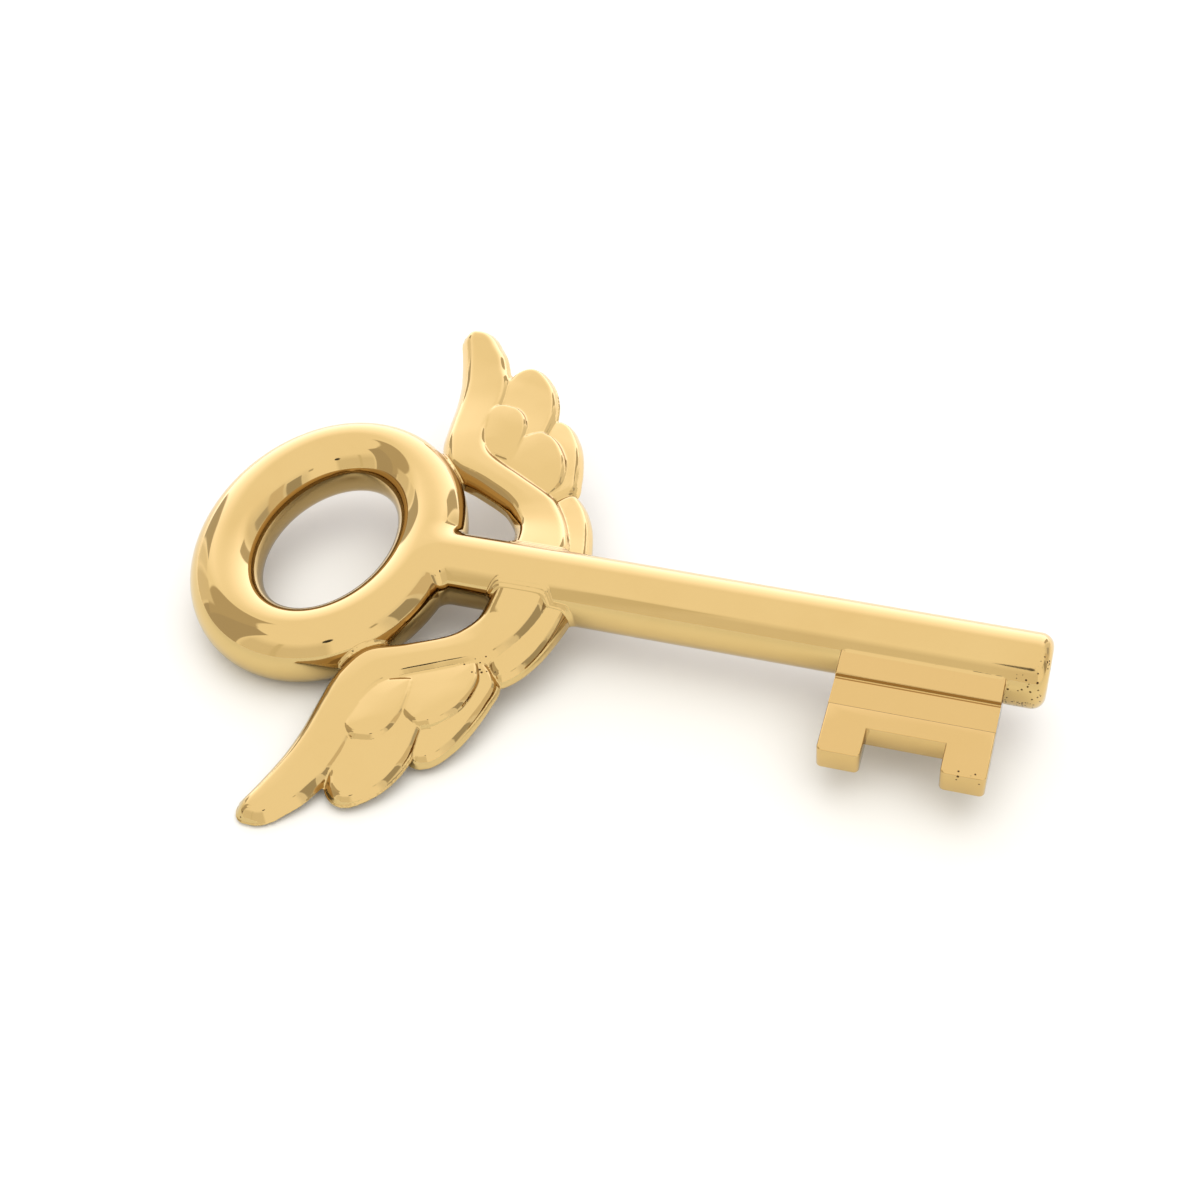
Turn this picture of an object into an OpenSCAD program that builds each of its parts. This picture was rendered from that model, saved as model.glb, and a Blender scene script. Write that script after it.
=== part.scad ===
// Winged ornamental key: a hollow brass key that lies flat on its oval bow and its round shank.
// The origin is on the rest plane below the middle of the key's length. The shank points along +X, the bit along -Y,
// and the wings are mirror images across the plane y = 0. Sub-parts are drawn about the bow's centre and then moved.

/* [Bow] */
// Half length of the bow's centre line along the key
bow_half_x = 42; // [40:1:44]
// Half width of the bow's centre line across the key
bow_half_y = 55; // [53:1:58]
// Thickness of the bow's round section
bow_d = 30; // [28:0.5:31]
// Wall of the bow's half shells
bow_wall = 3; // [2:0.25:4]

/* [Shank] */
// Outside diameter of the shank
shank_d = 30; // [28:0.5:31]
// Wall of the shank tube
shank_wall = 3; // [2:0.25:4]
// Distance from the bow's centre to the shank's flat end
shank_reach = 300; // [280:1:330]
// Length of the end plug that shows
cap_l = 12; // [9:0.5:14]
// Radius of the edge round the shank's flat end
cap_edge_r = 5.5; // [2:0.5:7]
// Length of the end plug's spigot inside the tube
cap_spigot_l = 12; // [8:0.5:20]

/* [Neck] */
// Size of the polished fillet where the shank leaves the bow
neck_fillet = 5; // [2:0.25:7]
// Diameter of the neck stud's nose inside the bow's wall
nose_d = 16; // [12:0.5:18]
// Length of the nose past the bow's wall
nose_l = 6; // [4:0.5:10]
// Length of the neck stud inside the shank tube
stud_l = 16; // [10:0.5:20]

/* [Bit] */
// Width of the bit along the shank
bit_w = 62; // [56:0.5:70]
// Distance from the bit to the shank's flat end
bit_gap = 15.5; // [13:0.5:20]
// Thickness of the root block
block_t = 17; // [14:0.5:20]
// Reach of the thick part of the root block from the shank's axis
block_reach = 27; // [24:0.5:30]
// Thickness of the block's tongue and of the tooth plate
plate_t = 11; // [8:0.5:13]
// Distance from the shank's axis to the seam between tongue and tooth plate
seam_reach = 38; // [35:0.5:41]
// Distance from the shank's axis to the teeth's front edge
bit_reach = 61; // [58:0.5:66]
// Width of each tooth
tooth_w = 16; // [13:0.5:18]
// Depth of the slot between the teeth
slot_depth = 14; // [10:0.5:16]
// Radius of the teeth's front edges
tooth_edge_r = 1.5; // [0.5:0.25:2.5]
// Diameter of the two pins that hold the bit
bit_pin_d = 5; // [4:0.5:6]
// Distance of each pin from the middle of the bit
bit_pin_offset = 23; // [21:0.5:24]

/* [Wings] */
// Distance from the shank's axis to the wing tips
wing_reach = 141; // [132:1:150]
// Height of the wing arm's top above the key's middle plane, beside the bow
arm_top = 4.8; // [4:0.2:6]
// How far the arm climbs above that where it meets the shank
arm_climb = 5.7; // [3:0.3:6]
// Thickness of the cast feathers
feather_t = 6; // [5:0.25:7]
// Fullness of the feathers' section: 2 is an ellipse, and a higher value is squarer
feather_fullness = 3.6; // [2.6:0.2:5]
// Diameter of the wing dowels
dowel_d = 4; // [3:0.25:5]
// Length of the wing dowels
dowel_l = 13; // [9:0.5:16]

/* [Joining] */
// Width and height of the brazed beads
bead = 1.4; // [0.8:0.1:2]
// Clearance round spigots, pins and dowels
push_gap = 0.05; // [0.02:0.01:0.1]
// Clearance of the coped and saddled seats
seat_gap = 0.05; // [0.02:0.01:0.1]

/* [Hidden] */
$fn = 96;
bow_r = bow_d / 2;
shank_r = shank_d / 2;
bore_r = shank_r - shank_wall;
axis_z = max(bow_r, shank_r);
bow_centre_x = -(shank_reach - bow_half_x - bow_r) / 2;
// The oval is four tangent arcs, laid out on a 3-4-5 triangle: its end arcs stand 3 units out from the middle,
// its side arcs 4 units back, and their radii differ by 5, so the arcs join on lines that rise 3 in 4
oval_unit = (bow_half_y - bow_half_x) / 2;
bow_end_r = bow_half_x - oval_unit;
bow_side_r = bow_half_x + 4 * oval_unit;
end_centre_y = 3 * oval_unit;
side_centre_x = 4 * oval_unit;
bow_front_x = bow_half_x + bow_r;
tube_end_x = shank_reach - cap_l;
bit_x = shank_reach - bit_gap - bit_w;
bit_mid_x = bit_x + bit_w / 2;
block_half = block_t / 2;
plate_half = plate_t / 2;
pin_inner_y = bore_r + 0.2;
pin_outer_y = bit_reach - slot_depth + 3;
// A wing's shoulder touches the bow where the bow's dowel leaves the end arc, at this angle from +X
bow_dowel_a = 42;
shoulder = [0, end_centre_y] + (bow_end_r + bow_r) * [cos(bow_dowel_a), sin(bow_dowel_a)];
// The stations below were taken on a wing with these sizes, and are stretched to the ones in force
drawn_reach = 141;
drawn_shoulder = [37.5, 53.3];
drawn_shank_r = 15;
drawn_feather_t = 6;
relief = feather_t / drawn_feather_t;
loft_steps = 2;
section_step = 22.5;
reach = 40;
dowel_out = dowel_l * 0.7;
gold = [0.86, 0.68, 0.38];
pale_gold = [0.9, 0.76, 0.5];
steel = [0.6, 0.6, 0.6];

// Where the drawn wing's dowels sit along the shank
dowel_x = [84, 98];
// Each form of a wing is a loft. A station is [x and y of its inner edge, x and y of its outer edge, height of
// its top], with x along the key from the bow's centre and y out from the shank's axis. The leading form, from the
// shank to the wing tip, also has the height of its back
leading = [[78.2, 7, 101.6, 7, arm_top + arm_climb, -5.5], [78.3, 18, 101.3, 17, arm_top + 0.6 * arm_climb, -5.5],
    [76.6, 28, 97.4, 29.5, arm_top + 0.18 * arm_climb, -5.5], [72, 35.5, 91.4, 40, arm_top, -5.5],
    [66, 41, 84.7, 47.2, arm_top, -5.5], [52, 48.8, 68.5, 56.3, arm_top, -5.5], [37, 54.8, 52, 66, arm_top, -5.3],
    [29, 67, 47, 77, arm_top - 0.3, -4.8], [26.5, 80, 47.5, 87.4, arm_top - 0.9, -4],
    [24.4, 93, 47.8, 99, arm_top - 1.3, -3.4], [22.6, 105, 45.6, 111.5, arm_top - 1.4, -3],
    [20, 115, 42.2, 119, arm_top - 1.4, -2.8], [17, 124.5, 38.4, 127, arm_top - 1.4, -2.6],
    [14.7, 131.5, 33.6, 133.6, arm_top - 1.4, -2.5], [14.9, 137, 28.4, 138.4, arm_top - 1.6, -2.4],
    [18, 140.4, 23.6, 140.9, arm_top - 2.4, -2]];
root_low = -8.5;
primaries = [
    [[44, 62, 64, 57, 0.6], [42, 80, 70.6, 74, -0.2], [41.3, 97, 72.2, 90.5, -0.4], [41.4, 109, 70.8, 101, -0.5],
        [43, 116.6, 67.2, 110.6, -0.6], [46.2, 120.9, 63, 117.4, -0.9], [50.2, 122.8, 58.2, 121.4, -1.8]],
    [[62, 49, 84, 43, 0.4], [65.4, 62, 92.6, 53, -2.4], [67.4, 73, 92, 63, -3.3], [68.8, 85, 89.4, 74.6, -3.7],
        [70, 92, 86, 84.6, -3.7], [71.8, 95.6, 81.8, 91.4, -3.9], [74.2, 96.8, 78.4, 95.2, -4.6]],
    [[80, 7, 110, 7, 4.8], [82, 17, 109.1, 15, 2.8], [83, 27, 107.5, 26, 0.4], [83, 36, 105.2, 36, -1.8],
        [84.4, 45, 101.6, 45, -3.1], [88, 51.6, 98.2, 50.8, -3.6], [91.4, 54.8, 95.4, 54.2, -4.2]]];
coverts = [
    [[42, 62, 62, 60, 4.4], [38.6, 74, 62.6, 69, 4], [38.4, 83, 61.8, 77.6, 3.6], [40.2, 89.6, 59, 85.4, 3.3],
        [43.4, 93.4, 54.8, 91.6, 2.9], [47, 95, 51, 94.4, 2.1]],
    [[60, 56, 82, 46, 2.4], [60.6, 69, 86, 57, 1.4], [62.2, 76.6, 84, 66.8, 0.9], [65, 81, 80.6, 75, 0.6],
        [68.2, 83, 76.4, 80, 0.2], [70.6, 83.7, 73.4, 82.6, -0.6]]];

// Rows of numbers r followed by a smooth curve, with n steps from each row to the next
function smooth_rows(r, n) = let (m = len(r) - 1) concat([for (i = [0:m - 1], k = [0:n - 1])
    let (t = k / n, a = r[max(i - 1, 0)], b = r[i], c = r[i + 1], d = r[min(i + 2, m)])
    0.5 * (2 * b + (c - a) * t + (2 * a - 5 * b + 4 * c - d) * t * t + (3 * b - a - 3 * c + d) * t * t * t)], [r[m]]);
function squircle(t) = let (p = 2 / feather_fullness)
    [sign(cos(t)) * pow(abs(cos(t)), p), sign(sin(t)) * pow(abs(sin(t)), p)];
// Where a point of the drawn wing goes: its root stays on the shank, its shoulder on the bow and its tip at wing_reach
function seat_x(x) = shoulder[0] + (x - drawn_shoulder[0]) * wing_reach / drawn_reach;
function seat_y(y) = y < drawn_shoulder[1]
    ? shank_r + (y - drawn_shank_r) * (shoulder[1] - shank_r) / (drawn_shoulder[1] - drawn_shank_r)
    : shoulder[1] + (y - drawn_shoulder[1]) * (wing_reach - shoulder[1]) / (drawn_reach - drawn_shoulder[1]);
// The upright section at a station, down to the height low, larger all round by grow
function section(s, low, grow) = let (
        inner = [seat_x(s[0]), seat_y(s[1])],
        outer = [seat_x(s[2]), seat_y(s[3])],
        middle = (inner + outer) / 2,
        half = (outer - inner) / 2 * (1 + 2 * grow / norm(outer - inner)),
        half_t = (s[4] - low) / 2 * relief + grow)
    [for (t = [0:section_step:360 - section_step]) let (q = squircle(t))
        [middle[0] + q[0] * half[0], middle[1] + q[0] * half[1], (s[4] + low) / 2 * relief + q[1] * half_t]];

// The shortest skin round the two sections a and b
module link(a, b) {
    hull() polyhedron(points = concat(a, b), faces = [[for (i = [0:len(a) + len(b) - 1]) i]]);
}

module loft(sections) {
    for (i = [0:len(sections) - 2]) link(sections[i], sections[i + 1]);
}

module leading_form(grow = 0) {
    loft([for (s = smooth_rows(leading, loft_steps)) section(s, s[5], grow)]);
}

// The feather at the shank has a flat back
module root_feather(grow = 0) {
    loft([for (s = smooth_rows(primaries[2], loft_steps)) section(s, root_low, grow)]);
}

// A feather of even thickness
module feather(stations) {
    loft([for (s = smooth_rows(stations, loft_steps)) section(s, s[4] - drawn_feather_t, 0)]);
}

// Ground plan of the stretch where an end arc runs, and of the one where a side arc runs
module end_field() {
    polygon([[0, end_centre_y], end_centre_y * [0, 1] + reach * [4, 3], [0, 9 * reach],
        end_centre_y * [0, 1] + reach * [-4, 3]]);
}

module side_field() {
    polygon([[-side_centre_x, 0], [-side_centre_x, 0] + reach * [4, -3], [9 * reach, 0],
        [-side_centre_x, 0] + reach * [4, 3]]);
}

// The child, a flat section about the tube's centre, swept along the end arc at +Y
module end_arc() {
    intersection() {
        translate([0, end_centre_y, 0]) rotate_extrude() translate([bow_end_r, 0]) children();
        translate([0, 0, -bow_d]) linear_extrude(2 * bow_d) end_field();
    }
}

// The child swept along the side arc at +X
module side_arc() {
    intersection() {
        translate([-side_centre_x, 0, 0]) rotate_extrude() translate([bow_side_r, 0]) children();
        translate([0, 0, -bow_d]) linear_extrude(2 * bow_d) side_field();
    }
}

// The child swept round the whole oval
module oval() {
    for (s = [0, 180]) rotate([0, 0, s]) {
        end_arc() children();
        side_arc() children();
    }
}

// Moves what is drawn about the bow's centre to its place over the origin
module in_frame() {
    translate([bow_centre_x, 0, axis_z]) children();
}

module bow_bar(r) {
    oval() circle(r = r);
}

// Section of one half shell, side = 1 for the front half and -1 for the back half
module half_section(side) {
    intersection() {
        difference() {
            circle(r = bow_r);
            circle(r = bow_r - bow_wall);
        }
        translate([-bow_r, side > 0 ? 0 : -bow_r]) square([bow_d, bow_r]);
    }
}

module bow_half(side) {
    color(gold) in_frame() difference() {
        oval() half_section(side);
        translate([bow_half_x, 0, 0]) rotate([0, 90, 0]) cylinder(d = nose_d + 2 * push_gap, h = bow_d);
        for (s = [-1, 1]) bow_dowel(s, push_gap);
    }
}

module bow_front_half() { bow_half(1); }
module bow_back_half() { bow_half(-1); }

module shank_bar(r, x0, x1) {
    translate([x0, 0, 0]) rotate([0, 90, 0]) cylinder(r = r, h = x1 - x0);
}

module neck_stud() {
    color(steel) in_frame() {
        shank_bar(nose_d / 2, bow_front_x - bow_wall - nose_l, bow_front_x + 1);
        shank_bar(bore_r - push_gap, bow_front_x + 0.5, bow_front_x + stud_l);
    }
}

module shank_tube() {
    color(gold) in_frame() difference() {
        shank_bar(shank_r, bow_half_x, tube_end_x);
        shank_bar(bore_r, bow_half_x - 1, tube_end_x + 1);
        side_arc() circle(r = bow_r + seat_gap);
        for (s = [-1, 1]) shank_dowels(s, push_gap);
        bit_pin_pair(push_gap);
    }
}

// Solid of revolution: flat end, rounded edge, skirt flush with the tube and spigot in its bore
module shank_end_plug() {
    color(gold) in_frame() translate([shank_reach, 0, 0]) rotate([0, -90, 0]) rotate_extrude() {
        square([shank_r - cap_edge_r, cap_l]);
        translate([0, cap_edge_r]) square([shank_r, cap_l - cap_edge_r]);
        intersection() {
            translate([shank_r - cap_edge_r, cap_edge_r]) circle(r = cap_edge_r);
            square([shank_r, cap_l]);
        }
        square([bore_r - push_gap, cap_l + cap_spigot_l]);
    }
}

// Fillet in the corner between bow and shank: thick at mid height, run out at the crowns
function fillet_section(z) = let (
        sb = sqrt(pow(bow_r, 2) - z * z) + seat_gap,
        ss = sqrt(pow(shank_r, 2) - z * z) + seat_gap,
        f = neck_fillet * ss / shank_r,
        r = bow_side_r + sb,
        a0 = asin(ss / r),
        a1 = a0 + f / r * 180 / PI,
        corner = [-side_centre_x + r * cos(a0), ss],
        on_bow = [-side_centre_x + r * cos(a1), r * sin(a1)],
        on_shank = corner + [f, 0])
    concat([corner], [for (t = [0:0.2:1]) on_shank * (1 - t) * (1 - t) + corner * 2 * t * (1 - t) + on_bow * t * t]);

module fillet_spindle() {
    levels = [for (a = [-80:10:80]) min(bow_r, shank_r) * sin(a)];
    m = len(fillet_section(0));
    n = len(levels);
    points = [for (z = levels, p = fillet_section(z)) [p[0], p[1], z]];
    sides = [for (j = [0:n - 2], i = [0:m - 1])
        let (a = j * m + i, b = j * m + (i + 1) % m, c = a + m, d = b + m) each [[a, c, b], [b, c, d]]];
    polyhedron(points = points, faces = concat(
        [[for (i = [0:m - 1]) i]], sides, [[for (i = [m - 1:-1:0]) (n - 1) * m + i]]), convexity = 4);
}

module neck_fillet() {
    color(pale_gold) in_frame() for (s = [0, 1]) mirror([0, s, 0]) fillet_spindle();
}

// Two round pins through the block and the shank's wall into the tooth plate
module bit_pin_pair(gap = 0) {
    for (s = [-1, 1])
        translate([bit_mid_x + s * bit_pin_offset, -pin_inner_y + gap, 0])
            rotate([90, 0, 0]) cylinder(d = bit_pin_d + 2 * gap, h = pin_outer_y - pin_inner_y + 2 * gap);
}

module bit_pins() {
    color(steel) in_frame() bit_pin_pair();
}

module bit_block_solid(grow = 0) {
    translate([bit_x - grow, -block_reach - grow, -block_half - grow])
        cube([bit_w + 2 * grow, block_reach, block_t + 2 * grow]);
}

module bit_root_block() {
    color(gold) in_frame() difference() {
        union() {
            bit_block_solid();
            translate([bit_x, -seam_reach, -plate_half]) cube([bit_w, seam_reach, plate_t]);
        }
        shank_bar(shank_r + seat_gap, bit_x - 1, bit_x + bit_w + 1);
        translate([bit_x - 1, 0, -block_t]) cube([bit_w + 2, block_reach, 2 * block_t]);
        bit_pin_pair(push_gap);
    }
}

// Side profile of the tooth plate, from the seam to its rounded front edges
module plate_profile() {
    front = bit_reach - tooth_edge_r;
    translate([seam_reach + seat_gap, -plate_half]) square([front - seam_reach - seat_gap, plate_t]);
    translate([front - 1, -plate_half + tooth_edge_r]) square([tooth_edge_r + 1, plate_t - 2 * tooth_edge_r]);
    for (s = [-1, 1]) translate([front, s * (plate_half - tooth_edge_r)]) circle(r = tooth_edge_r);
}

module bit_tooth_plate() {
    color(gold) in_frame() difference() {
        translate([bit_x + bit_w, 0, 0]) rotate([90, 0, -90]) linear_extrude(bit_w) plate_profile();
        translate([bit_x + tooth_w, -bit_reach - 1, -plate_t])
            cube([bit_w - 2 * tooth_w, slot_depth + 1, 2 * plate_t]);
        bit_pin_pair(push_gap);
    }
}

// Bead of braze in the corner between the root block and the shank
module bit_braze() {
    color(pale_gold) in_frame() difference() {
        intersection() {
            bit_block_solid(bead);
            shank_bar(shank_r + bead, bit_x - bead, bit_x + bit_w + bead);
        }
        shank_bar(shank_r + seat_gap, bit_x - 2 * bead, bit_x + bit_w + 2 * bead);
        translate([bit_x - 2 * bead, -bore_r * 0.6, -block_t]) cube([bit_w + 4 * bead, 2 * shank_d, 2 * block_t]);
        block_clearance();
        bit_pin_pair(push_gap);
    }
}

// The root block with its seat clearance, taken out of the bead round it
module block_clearance() {
    translate([bit_x - seat_gap, -block_reach - seat_gap, -block_half - seat_gap])
        cube([bit_w + 2 * seat_gap, block_reach, block_t + 2 * seat_gap]);
}

// Dowels from a wing's root into the shank, side = 1 for the left wing and -1 for the right one
module shank_dowels(side, gap = 0) {
    for (x = dowel_x)
        translate([seat_x(x), side * (bore_r - 1 - gap), 0])
            rotate([-90 * side, 0, 0]) cylinder(d = dowel_d + 2 * gap, h = dowel_l + 2 * gap);
}

// Dowel from a wing's shoulder into the bow
module bow_dowel(side, gap = 0) {
    out = bow_end_r + bow_r + dowel_out;
    translate([0, side * end_centre_y, 0])
        rotate([0, 0, side * bow_dowel_a])
            translate([out - dowel_l - gap, 0, 0])
                rotate([0, 90, 0]) cylinder(d = dowel_d + 2 * gap, h = dowel_l + 2 * gap);
}

module wing_shank_dowels() {
    color(steel) in_frame() for (s = [-1, 1]) shank_dowels(s);
}

module wing_bow_dowels() {
    color(steel) in_frame() for (s = [-1, 1]) bow_dowel(s);
}

// Moves what is drawn for the left wing to the wing of a side, 1 for left and -1 for right
module on_side(side) {
    mirror([0, side > 0 ? 0 : 1, 0]) children();
}

// All the cast forms of one wing, before its seats are cut
module wing_forms() {
    leading_form();
    for (i = [0:1]) feather(primaries[i]);
    root_feather();
    for (c = coverts) feather(c);
}

module wing(side) {
    color(gold) in_frame() difference() {
        on_side(side) wing_forms();
        shank_bar(shank_r + seat_gap, bow_half_x, shank_reach);
        bow_bar(bow_r + seat_gap);
        shank_dowels(side, push_gap);
        bow_dowel(side, push_gap);
    }
}

module wing_left() { wing(1); }
module wing_right() { wing(-1); }

// Bead of braze round a wing's root on the shank
module wing_shank_braze(side) {
    color(pale_gold) in_frame() difference() {
        intersection() {
            on_side(side) root_forms(bead);
            shank_bar(shank_r + bead, bow_half_x, shank_reach);
        }
        on_side(side) root_forms(seat_gap);
        shank_bar(shank_r + seat_gap, bow_half_x, shank_reach);
    }
}

// The two forms of a wing that reach the shank
module root_forms(grow) {
    leading_form(grow);
    root_feather(grow);
}

module wing_left_shank_braze() { wing_shank_braze(1); }
module wing_right_shank_braze() { wing_shank_braze(-1); }

// Bead of braze where a wing's shoulder meets the bow
module wing_bow_braze(side) {
    color(pale_gold) in_frame() difference() {
        intersection() {
            on_side(side) leading_form(bead);
            bow_bar(bow_r + bead);
        }
        on_side(side) leading_form(seat_gap);
        bow_bar(bow_r + seat_gap);
        bow_dowel(side, push_gap);
    }
}

module wing_left_bow_braze() { wing_bow_braze(1); }
module wing_right_bow_braze() { wing_bow_braze(-1); }

bow_front_half();
bow_back_half();
neck_stud();
neck_fillet();
shank_tube();
shank_end_plug();
bit_root_block();
bit_tooth_plate();
bit_pins();
bit_braze();
wing_left();
wing_right();
wing_shank_dowels();
wing_bow_dowels();
wing_left_shank_braze();
wing_right_shank_braze();
wing_left_bow_braze();
wing_right_bow_braze();
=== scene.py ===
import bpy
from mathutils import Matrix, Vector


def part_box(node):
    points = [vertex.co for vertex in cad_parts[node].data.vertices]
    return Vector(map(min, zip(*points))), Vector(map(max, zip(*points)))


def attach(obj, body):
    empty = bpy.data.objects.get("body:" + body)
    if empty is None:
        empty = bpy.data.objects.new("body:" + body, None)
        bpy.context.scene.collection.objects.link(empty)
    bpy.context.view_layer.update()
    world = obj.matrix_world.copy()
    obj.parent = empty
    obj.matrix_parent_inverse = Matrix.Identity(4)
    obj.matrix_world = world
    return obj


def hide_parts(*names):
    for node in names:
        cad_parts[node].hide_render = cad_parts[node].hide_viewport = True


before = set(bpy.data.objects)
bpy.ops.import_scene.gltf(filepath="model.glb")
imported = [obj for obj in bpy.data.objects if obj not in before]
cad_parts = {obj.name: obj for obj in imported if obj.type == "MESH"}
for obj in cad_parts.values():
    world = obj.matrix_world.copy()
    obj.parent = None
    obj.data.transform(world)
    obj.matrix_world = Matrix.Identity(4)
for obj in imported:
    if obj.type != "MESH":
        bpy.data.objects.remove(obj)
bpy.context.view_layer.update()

from math import atan2, cos, hypot, pi, radians, sin, sqrt

import bpy
import numpy as np
from mathutils import Matrix, Vector

mm = 0.001
tiny = 1e-6  # points closer than this, in metres, count as one

# measures that the CAD parts in model.glb give
frontHalfLow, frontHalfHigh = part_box("bow_front_half")
blockLow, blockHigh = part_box("bit_root_block")
plateLow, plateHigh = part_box("bit_tooth_plate")
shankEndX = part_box("shank_end_plug")[1].x
barRadius = frontHalfHigh.z - frontHalfLow.z  # bow and shank are the same thickness
axisZ = frontHalfLow.z
bowX = (frontHalfLow.x + frontHalfHigh.x) / 2
bowHalfX = (frontHalfHigh.x - frontHalfLow.x) / 2 - barRadius
bowHalfY = (frontHalfHigh.y - frontHalfLow.y) / 2 - barRadius


# modelling helpers
def deselectAll():
    if bpy.context.object and bpy.context.object.mode != "OBJECT":
        bpy.ops.object.mode_set(mode="OBJECT")
    bpy.ops.object.select_all(action="DESELECT")


def pick(piece):
    deselectAll()
    piece.select_set(True)
    bpy.context.view_layer.objects.active = piece


def shapedGrid(name, countU, countV, place):  # a grid whose point (i, j) moves to place(i, j)
    deselectAll()
    bpy.ops.mesh.primitive_grid_add(x_subdivisions=countU, y_subdivisions=countV, size=2)
    grid = bpy.context.object
    grid.name = name
    for vertex in grid.data.vertices:
        i = round((vertex.co.x + 1) / 2 * countU)
        j = round((vertex.co.y + 1) / 2 * countV)
        vertex.co = place(i, j)
    return grid


def joined(name, parts):
    pick(parts[0])
    for part in parts[1:]:
        part.select_set(True)
    if len(parts) > 1:
        bpy.ops.object.join()
    parts[0].name = parts[0].data.name = name
    return parts[0]


def closedUp(piece, distance=tiny):  # merges doubles, fills open ends and turns faces outwards
    pick(piece)
    bpy.ops.object.mode_set(mode="EDIT")
    bpy.ops.mesh.select_all(action="SELECT")
    bpy.ops.mesh.remove_doubles(threshold=distance)
    bpy.ops.mesh.select_all(action="DESELECT")
    bpy.ops.mesh.select_mode(type="EDGE")
    bpy.ops.mesh.select_non_manifold(
        extend=False, use_wire=False, use_boundary=True, use_multi_face=False,
        use_non_contiguous=False, use_verts=False)
    bpy.ops.mesh.fill_holes(sides=0)
    bpy.ops.mesh.select_all(action="SELECT")
    bpy.ops.mesh.normals_make_consistent(inside=False)
    bpy.ops.object.mode_set(mode="OBJECT")
    return piece


def smoothShaded(piece, angle=None):
    pick(piece)
    if angle is None:
        bpy.ops.object.shade_smooth()
    else:
        bpy.ops.object.shade_smooth_by_angle(angle=radians(angle))
    return piece


def applied(piece, kind, **values):  # adds a modifier with these values and applies it
    modifier = piece.modifiers.new(kind.title(), kind)
    for key, value in values.items():
        setattr(modifier, key, value)
    pick(piece)
    bpy.ops.object.modifier_apply(modifier=modifier.name)
    return piece


def finished(piece, slotName, material, *nodes):
    piece.data.materials.clear()
    piece.data.materials.append(material)
    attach(piece, "root")
    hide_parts(*nodes)


# material helpers
def feed(socket, value):  # links another socket or sets a plain value
    if isinstance(value, bpy.types.NodeSocket):
        socket.id_data.links.new(value, socket)
    elif socket.type == "RGBA":
        socket.default_value = (*value, 1)
    else:
        socket.default_value = value


def newNode(nodes, kind, inputs):
    node = nodes.new(kind)
    for label, value in inputs.items():
        feed(node.inputs[label], value)
    return node


def newMaterial(name, values):
    material = bpy.data.materials.new(name)
    material.use_nodes = True
    nodes = material.node_tree.nodes
    shader = nodes["Principled BSDF"]
    for label, value in values.items():
        feed(shader.inputs[label], value)
    return material, nodes, shader


def maths(nodes, operation, *inputs, clamp=False):
    node = nodes.new("ShaderNodeMath")
    node.operation = operation
    node.use_clamp = clamp
    for socket, value in zip(node.inputs, inputs):
        feed(socket, value)
    return node.outputs[0]


def mapped(nodes, value, fromRange=(0, 1), toRange=(0, 1)):
    labels = ("From Min", "From Max", "To Min", "To Max")
    inputs = dict(zip(labels, (*fromRange, *toRange)), Value=value)
    return newNode(nodes, "ShaderNodeMapRange", inputs).outputs["Result"]


def colourMix(nodes, share, first, second):
    node = nodes.new("ShaderNodeMix")
    node.data_type = "RGBA"
    for index, value in ((0, share), (6, first), (7, second)):  # the node's factor, A and B
        feed(node.inputs[index], value)
    return node.outputs[2]


def nearSpots(nodes, position, spots):  # 1 in the middle of a spot, 0 outside them all
    mask = None
    for middle, radius in spots:
        gap = nodes.new("ShaderNodeVectorMath")
        gap.operation = "DISTANCE"
        feed(gap.inputs[0], position)
        feed(gap.inputs[1], middle)
        spot = mapped(nodes, gap.outputs["Value"], (radius, 0))
        mask = spot if mask is None else maths(nodes, "MAXIMUM", mask, spot)
    return mask


def newGroup(name, inputs, outputs):  # an input is a number with its default, or a vector: None
    group = bpy.data.node_groups.new(name, "ShaderNodeTree")
    for label, value in inputs.items():
        kind = "NodeSocketVector" if value is None else "NodeSocketFloat"
        socket = group.interface.new_socket(label, in_out="INPUT", socket_type=kind)
        if value is not None:
            socket.default_value = value
    for label in outputs:
        group.interface.new_socket(label, in_out="OUTPUT", socket_type="NodeSocketFloat")
    return group, group.nodes.new("NodeGroupInput"), group.nodes.new("NodeGroupOutput")


def placed(nodes, group, inputs):
    node = nodes.new("ShaderNodeGroup")
    node.node_tree = group
    for label, value in inputs.items():
        feed(node.inputs[label], value)
    return node


# hand polish: cloudy smudges and faint strokes along the key
polishSettings = {
    "cloudScale": 18,
    "cloudDetail": 4,
    "cloudRoughness": 0.6,
    "smudgeRange": (0.48, 0.74),  # the noise at which a smudge starts and is full
    "strokeScale": 60,
    "strokeDetail": 3,
    "strokeStretch": (0.06, 1, 1),
}


def polishGroup():
    s = polishSettings
    group, given, result = newGroup("handPolish", {
        "Vector": None, "Cloud Scale": s["cloudScale"], "Stroke Scale": s["strokeScale"]},
        ["Smudge", "Stroke"])
    nodes, position = group.nodes, given.outputs["Vector"]
    clouds = newNode(nodes, "ShaderNodeTexNoise", {
        "Vector": position, "Scale": given.outputs["Cloud Scale"],
        "Detail": s["cloudDetail"], "Roughness": s["cloudRoughness"]})
    stretch = newNode(nodes, "ShaderNodeMapping", {
        "Vector": position, "Scale": s["strokeStretch"]})
    strokes = newNode(nodes, "ShaderNodeTexNoise", {
        "Vector": stretch.outputs["Vector"], "Scale": given.outputs["Stroke Scale"],
        "Detail": s["strokeDetail"]})
    feed(result.inputs["Smudge"], mapped(nodes, clouds.outputs["Fac"], s["smudgeRange"]))
    feed(result.inputs["Stroke"], strokes.outputs["Fac"])
    return group


# round casting pits, one in some of the cells where a mask lets them through
pitSettings = {
    "scale": 950,
    "sizeSpread": 0.42,  # of a cell
    "leastSize": 0.08,
}


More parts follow.
